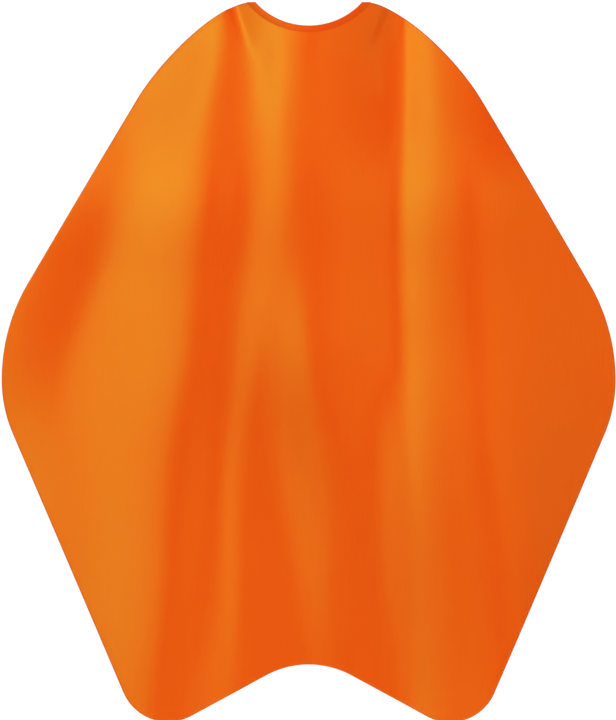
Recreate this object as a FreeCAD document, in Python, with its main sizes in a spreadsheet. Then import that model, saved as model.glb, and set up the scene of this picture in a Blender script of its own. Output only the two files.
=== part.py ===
"""Barber cape, hung by its neckband: a satin panel with a turned hem, a bound neckline and two snap straps.

Millimetres. The origin is the centre of the neck opening, level with the neckband's highest points.
+X is the wearer's left, +Y points from the front of the neck to the back, +Z is up.
The front of the cape faces -Y. Soft pieces are plain solids of the right size in the right place.
"""
import FreeCAD, Part
import math
import os
from FreeCAD import Rotation, Vector
import Sketcher

doc = FreeCAD.newDocument("barber_cape")
sheet = doc.addObject("Spreadsheet::Sheet", "Sizes")

SIZES = [
    # outline of the cape, seen from the front
    ("cape_drop", 1400.0),             # neckband tips down to the hem's lowest points
    ("wing_half_width", 598.5),        # centre line to the widest point
    ("wing_drop", 736.0),              # neckband tips down to the widest point
    ("wing_radius_upper", 371.0),
    ("wing_radius_lower", 265.0),
    ("side_lean_upper", 30.6),         # degrees from vertical, above the widest point
    ("side_lean_lower", 23.3),         # degrees from vertical, below it
    ("shoulder_drop", 190.0),          # where the straight upper side begins
    ("shoulder_start_pull", 69.8),     # how long the shoulder curve keeps its first direction
    ("shoulder_end_pull", 89.3),       # how long it keeps the side's direction
    ("hem_apex_drop", 1289.0),         # neckband tips down to the top of the hem's arch
    ("hem_apex_radius", 174.0),
    ("hem_slope", 28.5),               # degrees from level
    ("corner_radius", 94.5),
    ("hem_width", 9.0),
    # neckline
    ("notch_radius", 139.4),
    ("notch_depth", 46.7),
    ("tip_half_span", 110.3),          # centre line to each neckband tip
    ("tip_slope", 1.6),                # degrees, how the shoulder curve starts down
    ("band_width", 13.0),
    # sweep of the cloth in plan: front to back
    ("neck_front", 42.0),              # the cloth's middle is this far in front of the origin at the neck
    ("chest_swell", 50.0),             # and this much further forward lower down
    ("neck_sweep", 0.75),              # slope of the cloth away from the middle, at the neck
    ("lower_sweep", 0.33),             # and lower down
    ("sweep_length", 400.0),           # how far down the sweep takes to change
    ("sweep_hold", 30.0),              # the neck's steeper sweep takes the cloth this far further back
    ("sweep_ease", 14.0),              # and then gives way to the lower one, over about this much more
    ("neck_round", 90.0),              # half width of the rounded middle, at the neck
    ("lower_round", 200.0),            # and lower down
    ("swell_start", 15.0),
    ("swell_length", 505.0),
    # thicknesses
    ("panel_thick", 1.2),
    ("hem_thick", 1.8),
    ("band_thick", 2.0),
    ("thread_thick", 0.5),
    ("thread_width", 0.8),
    ("gap", 0.3),
    # straps
    ("strap_width", 13.0),
    ("strap_thick", 1.6),
    ("sleeve_slot", 0.7),
    ("interlining_thick", 0.6),
    ("interlining_width", 9.0),
    ("patch_length", 14.0),
    ("patch_top", 14.0),               # the sewn patch's upper edge, below the neckband tips
    ("strap_top", 49.5),               # the level strap's upper edge, below the neckband tips
    ("tip_back", 1.3),                 # where the strap leaves the neckband tip, in front of the origin
    ("strap_start", 108.0),            # and its distance from the centre line
    ("tip_angle", 30.0),               # degrees, direction of the patch in plan
    ("stud_bend", 23.0),               # plan radius of the stud strap's bend
    ("strap_gap", 4.9),                # between the two straps' middles where they lie snapped together
    ("fold_gap", 1.5),                 # from a strap's fold line to the cloth on each side of it
    ("strap_overlap", 22.0),           # how far each strap's end passes the centre line
    ("strap_end_radius", 4.0),
    ("stand_margin", 10.0),            # how far the plan shapes stand past the straps, above and below
    # snap fasteners
    ("snap_pitch", 18.0),
    ("first_snap", 10.0),              # first stud, beyond the centre line
    ("stud_count", 6),
    ("socket_count", 2),
    ("flange_radius", 4.5),
    ("flange_thick", 0.5),
    ("shank_radius", 1.5),
    ("shank_clearance", 0.06),
    ("post_reach", 1.2),               # how far a post stands past the cloth, inside its stud
    ("knob_radius", 2.05),
    ("knob_neck_radius", 1.75),
    ("knob_height", 2.0),
    ("knob_lip", 0.9),                 # height of the knob's wide end
    ("socket_radius", 4.6),
    ("socket_depth", 2.7),
    ("socket_bore", 2.2),
    ("socket_groove", 2.65),
    ("groove_low", 0.45),
    ("groove_high", 1.25),
    ("socket_floor", 0.6),
    ("spring_radius", 2.22),
    ("spring_wire", 0.3),
    ("spring_turn", 320.0),
    ("cap_radius", 4.75),
    ("cap_thick", 1.3),
    ("cap_rounding", 0.9),
    # stitching
    ("seam_inset", 1.5),
    ("hem_seam_inset", 7.0),
    ("tack_width", 1.6),
]
for row, (alias, value) in enumerate(SIZES, start=1):
    sheet.set("A%d" % row, alias)
    sheet.set("B%d" % row, str(value))
    sheet.setAlias("B%d" % row, alias)
doc.recompute()

SAME_PLACE = 0.01  # two coordinates closer than this are the same
SIDES = {"stud": 1, "socket": -1}  # the stud strap starts at the +X tip, the socket strap at the -X tip


def size(expression):
    """The value of an expression, in which a bare alias is written Sizes.alias."""
    value = sheet.evalExpression(expression)
    return float(getattr(value, "Value", value))


def cell(alias):
    return size("Sizes." + alias)


def bind(item, links):
    for target, expression in links.items():
        item.setExpression(target, expression)
    return item


# ---------------------------------------------------------------- the hanging cloth's surface

def smooth_step(value):
    """From 0 to 1 with no jump in slope or curvature."""
    value = min(max(value, 0.0), 1.0)
    return value ** 3 * (10.0 - 15.0 * value + 6.0 * value ** 2)


def cloth_depth(x, drop):
    """How far behind the origin the cloth's middle surface lies, at x and at a depth below the tips."""
    fall = smooth_step((drop - cell("swell_start")) / cell("swell_length"))
    forward = cell("neck_front") + cell("chest_swell") * fall
    turn = smooth_step((drop - cell("swell_start")) / cell("sweep_length"))
    rounding = cell("neck_round") + (cell("lower_round") - cell("neck_round")) * fall
    reach = math.hypot(x, rounding) - rounding
    extra = (cell("neck_sweep") - cell("lower_sweep")) * reach
    past = extra - cell("sweep_hold")
    if past > 0:
        extra -= past - cell("sweep_ease") * (1.0 - math.exp(-past / cell("sweep_ease")))
    return cell("lower_sweep") * reach + extra * (1.0 - turn) - forward


CLOTH_COLUMNS = 31
CLOTH_ROWS = 31
SHEET_MARGIN = 20.0  # the surface runs past the outline on every side


def cloth_face():
    """The cloth's middle surface, over a rectangle a little larger than the outline."""
    half = cell("wing_half_width") + SHEET_MARGIN
    tall = cell("cape_drop") + 2 * SHEET_MARGIN
    grid = []
    for column in range(CLOTH_COLUMNS):
        x = half * (2.0 * column / (CLOTH_COLUMNS - 1) - 1.0)
        drops = [tall * row / (CLOTH_ROWS - 1) - SHEET_MARGIN for row in range(CLOTH_ROWS)]
        grid.append([Vector(x, cloth_depth(x, drop), -drop) for drop in drops])
    surface = Part.BSplineSurface()
    surface.interpolate(grid)
    return surface.toShape()


def cloth_layer(face, region, front, thick):
    """The cloth inside a region, as a layer that starts front behind the middle surface, thick deep."""
    trimmed = face.common(region)
    layers = []
    for piece in trimmed.Faces:
        layer = piece.copy()
        layer.translate(Vector(0, front, 0))
        layers.append(layer.extrude(Vector(0, thick, 0)))
    if len(layers) == 1:
        return layers[0]
    return Part.makeCompound(layers)


# ---------------------------------------------------------------- the outline, seen from the front

def lean(degrees, sideways):
    """A unit vector that goes down, leaning outwards (1) or inwards (-1) by an angle from vertical."""
    angle = math.radians(degrees)
    return Vector(sideways * math.sin(angle), 0, -math.cos(angle))


def arc_between(centre, radius, first, last):
    """An arc in the XZ plane, between two angles in degrees from +X towards +Z."""
    def point(angle):
        turn = math.radians(angle)
        return centre + Vector(math.cos(turn), 0, math.sin(turn)) * radius
    return Part.Arc(point(first), point((first + last) / 2), point(last)).toShape()


def meet(start, along, other, other_along):
    """Where two lines in the XZ plane cross."""
    cross = along.x * other_along.z - along.z * other_along.x
    offset = other - start
    reach = (offset.x * other_along.z - offset.z * other_along.x) / cross
    return start + along * reach


def notch_centre():
    return Vector(0, 0, cell("notch_radius") - cell("notch_depth"))


def right_half_outline():
    """The outline's edges from the +X neckband tip down to the middle of the hem."""
    widest = Vector(cell("wing_half_width"), 0, -cell("wing_drop"))
    upper, lower = cell("wing_radius_upper"), cell("wing_radius_lower")
    upper_lean, lower_lean = cell("side_lean_upper"), cell("side_lean_lower")
    upper_centre = widest - Vector(upper, 0, 0)
    lower_centre = widest - Vector(lower, 0, 0)
    upper_arc = arc_between(upper_centre, upper, upper_lean, 0)
    lower_arc = arc_between(lower_centre, lower, 0, -lower_lean)
    side_end = upper_arc.Vertexes[0].Point
    side = lean(upper_lean, 1)
    side_start = side_end - side * ((side_end.z + cell("shoulder_drop")) / side.z)

    tip = Vector(cell("tip_half_span"), 0, 0)
    tip_slope = math.radians(cell("tip_slope"))
    first_pull = Vector(math.cos(tip_slope), 0, -math.sin(tip_slope)) * cell("shoulder_start_pull")
    shoulder = Part.BezierCurve()
    shoulder.setPoles([tip, tip + first_pull, side_start - side * cell("shoulder_end_pull"), side_start])

    slope = cell("hem_slope")
    apex = Vector(0, 0, -cell("hem_apex_drop"))
    apex_centre = apex - Vector(0, 0, cell("hem_apex_radius"))
    apex_arc = arc_between(apex_centre, cell("hem_apex_radius"), 90 - slope, 90)
    hem_end = apex_arc.Vertexes[0].Point
    hem = Vector(math.cos(math.radians(slope)), 0, -math.sin(math.radians(slope)))
    taper = lean(lower_lean, -1)
    taper_start = lower_arc.Vertexes[-1].Point
    corner = meet(taper_start, taper, hem_end, hem)
    half_turn = math.radians(90 + slope - lower_lean) / 2
    reach = cell("corner_radius") * math.tan(half_turn)
    corner_centre = corner - taper * reach + Vector(taper.z, 0, -taper.x) * cell("corner_radius")
    corner_arc = arc_between(corner_centre, cell("corner_radius"), -lower_lean, -90 - slope)
    return [
        shoulder.toShape(),
        Part.makeLine(side_start, side_end),
        upper_arc,
        lower_arc,
        Part.makeLine(taper_start, corner_arc.Vertexes[0].Point),
        corner_arc,
        Part.makeLine(corner_arc.Vertexes[-1].Point, hem_end),
        apex_arc,
    ]


def mirrored(shape):
    return shape.mirror(Vector(0, 0, 0), Vector(1, 0, 0))


def outline_face():
    """The whole cape's outline as a flat face in the XZ plane."""
    tip = Vector(cell("tip_half_span"), 0, 0)
    centre = notch_centre()
    notch_end = centre + Vector(math.sqrt(cell("notch_radius") ** 2 - centre.z ** 2), 0, -centre.z)
    right = right_half_outline()
    notch_low = Vector(0, 0, -cell("notch_depth"))
    notch_start = Vector(-notch_end.x, 0, notch_end.z)
    notch = [
        Part.Arc(notch_start, notch_low, notch_end).toShape(),
        Part.makeLine(notch_end, tip),
        Part.makeLine(Vector(-tip.x, 0, 0), notch_start),
    ]
    edges = notch + right + [mirrored(edge) for edge in right]
    wire = Part.Wire(Part.__sortEdges__(edges))
    return Part.Face(wire)


REGION_DEPTH = 1000.0


def through(face):
    """A flat region in the XZ plane, run right through the cloth from front to back."""
    region = face.copy()
    region.translate(Vector(0, -REGION_DEPTH / 2, 0))
    return region.extrude(Vector(0, REGION_DEPTH, 0))


def notch_disc(reach):
    """Everything within reach of the neckline's edge."""
    axis = Vector(0, 1, 0)
    start = notch_centre() - axis * (REGION_DEPTH / 2)
    return Part.makeCylinder(cell("notch_radius") + reach, REGION_DEPTH, start, axis)


def notch_ring(inner, outer):
    """Everything between two distances from the neckline's edge."""
    return notch_disc(outer).cut(notch_disc(inner))


def feature(label, shape):
    item = doc.addObject("Part::Feature", label)
    item.Label = label
    item.Shape = shape
    return item


def make_cloth():
    """The panel, its turned hem, the neckline binding and their stitching, cut from one hanging surface."""
    face = cloth_face()
    outline = outline_face()
    whole = through(outline)

    def inside(distance):
        return through(Part.Face(outline.OuterWire.makeOffset2D(-distance)))

    hem_width, gap, band = cell("hem_width"), cell("gap"), cell("band_width")
    panel = cell("panel_thick")
    below_band = notch_disc(band + gap)
    panel_region = inside(hem_width + gap).cut(below_band)
    cape_body = cloth_layer(face, panel_region, -panel / 2, panel)

    hem_region = whole.cut(inside(hem_width)).cut(below_band)
    hem_thick = cell("hem_thick")
    hem = cloth_layer(face, hem_region, -hem_thick / 2, hem_thick)

    thread, wide = cell("thread_thick"), cell("thread_width")
    seam = cell("hem_seam_inset")
    seam_region = inside(seam).cut(inside(seam + wide)).cut(below_band)
    hem_thread = cloth_layer(face, seam_region, -hem_thick / 2 - thread, thread)

    band_thick, slot = cell("band_thick"), cell("sleeve_slot")
    edge = (band_thick - slot) / 2
    band_solid = cloth_layer(face, whole.common(notch_ring(0, band)), -band_thick / 2, band_thick)
    channel = cloth_layer(face, notch_ring(edge, band + gap), -slot / 2, slot)
    neckband = band_solid.cut(channel)
    stiff = cell("interlining_thick")
    lining_region = inside(edge + gap).common(notch_ring(edge + gap, band - edge))
    interlining = cloth_layer(face, lining_region, -stiff / 2, stiff)

    seams = []
    for start in (cell("seam_inset"), band - cell("seam_inset") - wide / 2):
        row = inside(gap).common(notch_ring(start, start + wide / 2))
        for surface in (-band_thick / 2 - thread / 2, band_thick / 2):
            seams.append(cloth_layer(face, row, surface, thread / 2))

    return [
        feature("cape_body", cape_body),
        feature("hem", hem),
        feature("hem_thread", hem_thread),
        feature("neckband", neckband),
        feature("neckband_interlining", interlining),
        feature("neckband_thread", Part.makeCompound([s for seam_part in seams for s in seam_part.Solids])),
    ]


# ---------------------------------------------------------------- straps

TURN = "(180 - Sizes.tip_angle)"                   # degrees that each strap turns in plan
BEND_RISE = "(1 + cos(Sizes.tip_angle * 1 deg))"   # depth of the bend over its radius


def strap_terms(kind):
    """Expressions for one strap's plan: its bend radius, its back plane and where its fold line is."""
    extra = "0" if kind == "stud" else "Sizes.strap_gap / " + BEND_RISE
    bend = "(Sizes.stud_bend + %s)" % extra
    return {
        "bend": bend,
        "back": "(%s * %s - Sizes.tip_back)" % (bend, BEND_RISE),
        "bend_x": "(Sizes.strap_start - %s * sin(Sizes.tip_angle * 1 deg))" % bend,
        "bend_y": "(%s * cos(Sizes.tip_angle * 1 deg) - Sizes.tip_back)" % bend,
    }


def stand(item, links):
    """Makes a plan shape tall enough to hold the strap's whole fall, and binds the rest of its sizes."""
    tall = {
        "Height": "Sizes.strap_top + Sizes.strap_width + 2 * Sizes.stand_margin",
        "Placement.Base.z": "-(Sizes.strap_top + Sizes.strap_width + Sizes.stand_margin)",
    }
    return bind(item, {**links, **tall})


def plan_cylinder(name, radius, terms, side):
    """A standing sector over the strap's bend, in plan."""
    item = doc.addObject("Part::Cylinder", name)
    start = "-(90 - Sizes.tip_angle)" if side > 0 else "90"
    turn = Rotation(Vector(0, 0, 1), size(start))
    item.Placement = FreeCAD.Placement(Vector(0, 0, 0), turn)
    return stand(item, {
        "Radius": radius,
        "Angle": TURN,
        "Placement.Base.x": "%d * %s" % (side, terms["bend_x"]),
        "Placement.Base.y": terms["bend_y"],
    })


def patch_box(name, side):
    """The stretch of strap that is sewn flat behind the neckband's tip, turned to the tip's angle in plan."""
    item = doc.addObject("Part::Box", name)
    turn = Rotation(Vector(0, 0, 1), side * cell("tip_angle"))
    item.Placement = FreeCAD.Placement(Vector(0, 0, 0), turn)
    along_x, along_y = "cos(Sizes.tip_angle * 1 deg)", "sin(Sizes.tip_angle * 1 deg)"
    behind = "Sizes.patch_length" if side > 0 else "0"   # the box starts at its lowest-X end
    front = "Sizes.strap_thick / 2"
    return stand(item, {
        "Length": "Sizes.patch_length",
        "Width": "Sizes.strap_thick",
        "Placement.Base.x": "%d * (Sizes.strap_start + %s * %s) - %s * %s" % (
            side, front, along_y, behind, along_x),
        "Placement.Base.y": "-Sizes.tip_back - %s * %s - %s * %s" % (behind, along_y, front, along_x),
    })


def plane_of(body, role):
    return next(part for part in body.Origin.OriginFeatures if part.Role == role)


def closed_profile(body, role, corners):
    """A sketch of straight lines through corners, each coordinate bound to an expression."""
    sketch = body.newObject("Sketcher::SketchObject", body.Name + "_profile")
    sketch.AttachmentSupport = (plane_of(body, role), [""])
    sketch.MapMode = "FlatFace"
    points = [Vector(size(across), size(up), 0) for across, up in corners]
    for number, point in enumerate(points):
        following = points[(number + 1) % len(points)]
        sketch.addGeometry(Part.LineSegment(point, following), False)
    for number in range(len(points)):
        following = (number + 1) % len(points)
        sketch.addConstraint(Sketcher.Constraint("Coincident", number, 2, following, 1))
    for number, (point, corner) in enumerate(zip(points, corners)):
        for kind, value, axis, expression in (
            ("DistanceX", point.x, -2, corner[0]),
            ("DistanceY", point.y, -1, corner[1]),
        ):
            if expression == "0":
                sketch.addConstraint(Sketcher.Constraint("PointOnObject", number, 1, axis))
                continue
            index = sketch.addConstraint(Sketcher.Constraint(kind, -1, 1, number, 1, value))
            sketch.setExpression("Constraints[%d]" % index, expression)
    return sketch


def fall_region(kind, terms):
    """Where the strap falls, seen from the side: level at the patch, then down to the level strap."""
    body = doc.addObject("PartDesign::Body", kind + "_fall")
    front = "-(Sizes.tip_back + Sizes.patch_length)"
    back = "(%s + Sizes.strap_thick)" % terms["back"]
    level = "-Sizes.patch_top"
    low = "-Sizes.strap_top"
    corners = [
        (front, level),
        ("-Sizes.tip_back", level),
        (back, low),
        (back, low + " - Sizes.strap_width"),
        ("-Sizes.tip_back", level + " - Sizes.strap_width"),
        (front, level + " - Sizes.strap_width"),
    ]
    sketch = closed_profile(body, "YZ_Plane", corners)
    pad = body.newObject("PartDesign::Pad", kind + "_fall_pad")
    pad.Profile = sketch
    pad.Midplane = True
    bind(pad, {"Length": "4 * Sizes.strap_start"})   # wide enough for both ends of the strap
    return body


def make_strap_root(kind):
    """The fixed stretch of a strap: a patch behind the neckband tip and the bend to the back."""
    side, terms = SIDES[kind], strap_terms(kind)
    outer = plan_cylinder(kind + "_outer", terms["bend"] + " + Sizes.strap_thick / 2", terms, side)
    inner = plan_cylinder(kind + "_inner", terms["bend"] + " - Sizes.strap_thick / 2", terms, side)
    ring = doc.addObject("Part::Cut", kind + "_ring")
    ring.Base, ring.Tool = outer, inner
    path = doc.addObject("Part::Fuse", kind + "_path")
    path.Base, path.Tool = ring, patch_box(kind + "_patch", side)
    root = doc.addObject("Part::Common", kind + "_strap_root")
    root.Label = kind + "_strap_root"
    root.Base, root.Tool = path, fall_region(kind, terms)
    return root


def level_box(name, kind, first, last, width, thick):
    """A level strip along a strap's back plane; first and last run from the strap's own tip's side."""
    side, terms = SIDES[kind], strap_terms(kind)
    start = first if side < 0 else last
    item = doc.addObject("Part::Box", name)
    return bind(item, {
        "Length": "abs((%s) - (%s))" % (last, first),
        "Width": thick,
        "Height": width,
        "Placement.Base.x": "%d * (%s)" % (side, start),
        "Placement.Base.y": "%s - (%s) / 2" % (terms["back"], thick),
        "Placement.Base.z": "-(Sizes.strap_top + Sizes.strap_width / 2) - (%s) / 2" % width,
    })


def free_start(kind, extra="0"):
    """Distance from the centre line to where the strap's free stretch begins, past its fold line."""
    return "(%s - 2 * Sizes.fold_gap - %s)" % (strap_terms(kind)["bend_x"], extra)


def snap_places(kind):
    """Distances from the centre line of a strap's snaps, positive towards +X."""
    count = int(cell("stud_count" if kind == "stud" else "socket_count"))
    return [-cell("first_snap") + cell("snap_pitch") * number for number in range(count)]


def snap_height():
    return -(cell("strap_top") + cell("strap_width") / 2)


def shank_holes(kind):
    """One pin per snap, wide enough to clear the shank that goes through the strap."""
    back = size(strap_terms(kind)["back"])
    reach = 3 * cell("strap_thick")
    radius = cell("shank_radius") + cell("shank_clearance")
    pins = []
    for x in snap_places(kind):
        start = Vector(x, back - reach / 2, snap_height())
        pins.append(Part.makeCylinder(radius, reach, start, Vector(0, 1, 0)))
    return feature(kind + "_shank_holes", Part.makeCompound(pins))


def make_strap(kind):
    """The free stretch of a strap: a folded sleeve, its stiff interlining and two rows of stitching."""
    end = "-Sizes.strap_overlap"
    begin = free_start(kind)
    sleeve = level_box(kind + "_sleeve", kind, begin, end, "Sizes.strap_width", "Sizes.strap_thick")
    rounded = doc.addObject("Part::Fillet", kind + "_rounded")
    doc.recompute()
    rounded.Base = sleeve
    tip_x = -SIDES[kind] * cell("strap_overlap")
    radius = cell("strap_end_radius")
    ends = [
        (number, radius, radius)
        for number, edge in enumerate(sleeve.Shape.Edges, start=1)
        if all(abs(vertex.X - tip_x) < SAME_PLACE for vertex in edge.Vertexes)
        and abs(edge.Vertexes[0].Z - edge.Vertexes[1].Z) < SAME_PLACE
    ]
    rounded.Edges = ends
    slot_end = "-(Sizes.strap_overlap - Sizes.seam_inset)"
    slot_width = "Sizes.interlining_width + 2 * Sizes.shank_clearance"
    slot = level_box(kind + "_slot", kind, begin, slot_end, slot_width, "Sizes.sleeve_slot")
    hollow = doc.addObject("Part::Cut", kind + "_hollow")
    hollow.Base, hollow.Tool = rounded, slot
    holes = shank_holes(kind)
    strap = doc.addObject("Part::Cut", kind + "_strap")
    strap.Label = kind + "_strap"
    strap.Base, strap.Tool = hollow, holes

    lining_end = "-(Sizes.strap_overlap - Sizes.seam_inset - Sizes.gap)"
    lining = level_box(kind + "_lining", kind, free_start(kind, "Sizes.gap"), lining_end,
                       "Sizes.interlining_width", "Sizes.interlining_thick")
    interlining = doc.addObject("Part::Cut", kind + "_strap_interlining")
    interlining.Label = kind + "_strap_interlining"
    interlining.Base, interlining.Tool = lining, holes

    seams = []
    start, stop = size(free_start(kind, "Sizes.gap")), -cell("strap_overlap") + cell("strap_end_radius")
    back = size(strap_terms(kind)["back"])
    wide, raised = cell("thread_width") / 2, cell("thread_thick") / 2
    low_x = min(SIDES[kind] * start, SIDES[kind] * stop)
    for rise in (cell("seam_inset") - wide, cell("strap_width") - cell("seam_inset")):
        for surface in (back - cell("strap_thick") / 2 - raised, back + cell("strap_thick") / 2):
            corner = Vector(low_x, surface, -cell("strap_top") - cell("strap_width") + rise)
            seams.append(Part.makeBox(start - stop, raised, wide, corner))
    thread = feature(kind + "_strap_thread", Part.makeCompound(seams))
    return [strap, interlining, thread]


def make_tacks():
    """Short dense bars of stitching that hold each strap's patch behind the neckband's tip."""
    tacks = []
    thick, wide = cell("thread_thick") / 2, cell("tack_width")
    tall = cell("strap_width") - 2 * cell("seam_inset")
    angle = math.radians(cell("tip_angle"))
    along = Vector(math.cos(angle), math.sin(angle), 0)
    back = Vector(-math.sin(angle), math.cos(angle), 0)
    low = -cell("patch_top") - cell("strap_width") + cell("seam_inset")
    tip = Vector(cell("strap_start"), -cell("tip_back"), low) + back * (cell("strap_thick") / 2)
    for inset in (wide, cell("patch_length") - 2 * wide):
        tack = Part.makeBox(wide, thick, tall)
        tack.rotate(Vector(0, 0, 0), Vector(0, 0, 1), cell("tip_angle"))
        tack.translate(tip - along * (cell("patch_length") - inset))
        tacks += [tack, mirrored(tack)]
    return feature("strap_tacks", Part.makeCompound(tacks))


# ---------------------------------------------------------------- snap fasteners

def turned(name, corners):
    """A body turned about its own +Y axis, from corners given as (radius, height)."""
    body = doc.addObject("PartDesign::Body", name)
    sketch = closed_profile(body, "XY_Plane", corners)
    turning = body.newObject("PartDesign::Revolution", name + "_turning")
    turning.Profile = sketch
    turning.ReferenceAxis = (sketch, ["V_Axis"])
    turning.Angle = 360
    return body


def post_master():
    """A flat-headed post: its head lies on the neck's side of the strap, its shank goes through."""
    top = "Sizes.flange_thick + Sizes.strap_thick + Sizes.post_reach"
    return turned("post_master", [
        ("0", "0"),
        ("Sizes.flange_radius", "0"),
        ("Sizes.flange_radius", "Sizes.flange_thick"),
        ("Sizes.shank_radius", "Sizes.flange_thick"),
        ("Sizes.shank_radius", top),
        ("0", top),
    ])


def stud_master():
    """The male half: a flange on the strap and a hollow knob that is widest near its end."""
    top = "Sizes.flange_thick + Sizes.knob_height"
    hollow = "Sizes.shank_radius + Sizes.shank_clearance"
    ceiling = "Sizes.post_reach + Sizes.shank_clearance"
    return turned("stud_master", [
        (hollow, "0"),
        ("Sizes.flange_radius", "0"),
        ("Sizes.flange_radius", "Sizes.flange_thick"),
        ("Sizes.knob_neck_radius", "Sizes.flange_thick"),
        ("Sizes.knob_neck_radius", top + " - Sizes.knob_lip"),
        ("Sizes.knob_radius", top + " - Sizes.knob_lip / 2"),
        ("Sizes.knob_neck_radius", top),
        ("0", top),
        ("0", ceiling),
        (hollow, ceiling),
    ])


def socket_master():
    """The female half: a ring with a groove for its spring, and a floor that the cap's shank passes."""
    hole = "Sizes.shank_radius + Sizes.shank_clearance"
    floor = "Sizes.socket_depth - Sizes.socket_floor"
    return turned("socket_master", [
        ("Sizes.socket_bore", "0"),
        ("Sizes.socket_radius", "0"),
        ("Sizes.socket_radius", "Sizes.socket_depth"),
        (hole, "Sizes.socket_depth"),
        (hole, floor),
        ("Sizes.socket_bore", floor),
        ("Sizes.socket_bore", "Sizes.groove_high"),
        ("Sizes.socket_groove", "Sizes.groove_high"),
        ("Sizes.socket_groove", "Sizes.groove_low"),
        ("Sizes.socket_bore", "Sizes.groove_low"),
    ])


def cap_master():
    """The visible cap outside the socket strap, rounded over, with the shank that holds the socket."""
    seat = "Sizes.socket_floor + Sizes.strap_thick"
    top = seat + " + Sizes.cap_thick"
    body = turned("cap_master", [
        ("0", "0"),
        ("Sizes.shank_radius", "0"),
        ("Sizes.shank_radius", seat),
        ("Sizes.cap_radius", seat),
        ("Sizes.cap_radius", top),
        ("0", top),
    ])
    doc.recompute()
    base = body.Tip
    rim = "Edge%d" % next(
        number for number, edge in enumerate(base.Shape.Edges, start=1)
        if abs(edge.BoundBox.YMin - size(top)) < SAME_PLACE and edge.BoundBox.XLength > cell("cap_radius")
    )
    rounding = body.newObject("PartDesign::Fillet", "cap_rounding")
    rounding.Base = (base, [rim])
    bind(rounding, {"Radius": "Sizes.cap_rounding"})
    return body


def spring_master():
    """A split ring of wire that grips the knob's neck."""
    ring = doc.addObject("Part::Torus", "spring_master")
    ring.Placement = FreeCAD.Placement(Vector(0, 0, 0), Rotation(Vector(1, 0, 0), -90))
    return bind(ring, {
        "Radius1": "Sizes.spring_radius",
        "Radius2": "Sizes.spring_wire",
        "Angle3": "Sizes.spring_turn",
        "Placement.Base.y": "(Sizes.groove_low + Sizes.groove_high) / 2",
    })


def row_of(label, master, kind, depth):
    """One snap piece at each of a strap's snap places, its own zero at a depth behind the origin."""
    copies = []
    for x in snap_places(kind):
        copy = master.Shape.copy()
        copy.translate(Vector(x, depth, snap_height()))
        copies += copy.Solids
    return feature(label, Part.makeCompound(copies))


def make_snaps():
    half = cell("strap_thick") / 2
    stud_back = size(strap_terms("stud")["back"])
    socket_front = size(strap_terms("socket")["back"]) - half
    masters = {
        "snap_posts": (post_master(), "stud", stud_back - half - cell("flange_thick")),
        "snap_studs": (stud_master(), "stud", stud_back + half),
        "snap_sockets": (socket_master(), "socket", socket_front - cell("socket_depth")),
        "snap_springs": (spring_master(), "socket", socket_front - cell("socket_depth")),
        "snap_caps": (cap_master(), "socket", socket_front - cell("socket_floor")),
    }
    doc.recompute()
    return [row_of(label, master, kind, depth) for label, (master, kind, depth) in masters.items()]


# ---------------------------------------------------------------- the whole cape

def check_objects():
    for item in doc.Objects:
        if "Invalid" in item.State or "Error" in item.State:
            raise RuntimeError("%s failed: %s" % (item.Name, item.State))


def write_parts(nodes):
    os.makedirs("parts", exist_ok=True)
    for node in nodes:
        shape = node.Shape
        if shape.isNull() or not shape.isValid() or not shape.Solids:
            raise RuntimeError("%s has no valid solid" % node.Label)
        shape.exportStep("parts/%s.step" % node.Label)
        box = shape.BoundBox
        print("%-26s %2d solids %10.1f mm3  x %7.1f %7.1f  y %6.1f %6.1f  z %7.1f %7.1f" % (
            node.Label, len(shape.Solids), shape.Volume,
            box.XMin, box.XMax, box.YMin, box.YMax, box.ZMin, box.ZMax))


def main():
    nodes = make_cloth()
    for kind in SIDES:
        nodes.append(make_strap_root(kind))
        nodes += make_strap(kind)
    nodes.append(make_tacks())
    nodes += make_snaps()
    doc.recompute()
    check_objects()
    write_parts(nodes)


main()
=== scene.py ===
"""The looks of a barber cape: a hanging satin panel with a turned hem, a bound neckline and two snap straps.

Metres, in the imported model's frame. The cape's front faces -Y, +Z is up, and the origin is the centre of the
neck opening, level with the neckband's tips. A "drop" is a distance below the tips, and (x, z) places are
those of a front view.
"""
import math

import bmesh
import bpy
import numpy as np
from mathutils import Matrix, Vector
from mathutils.geometry import delaunay_2d_cdt


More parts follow.
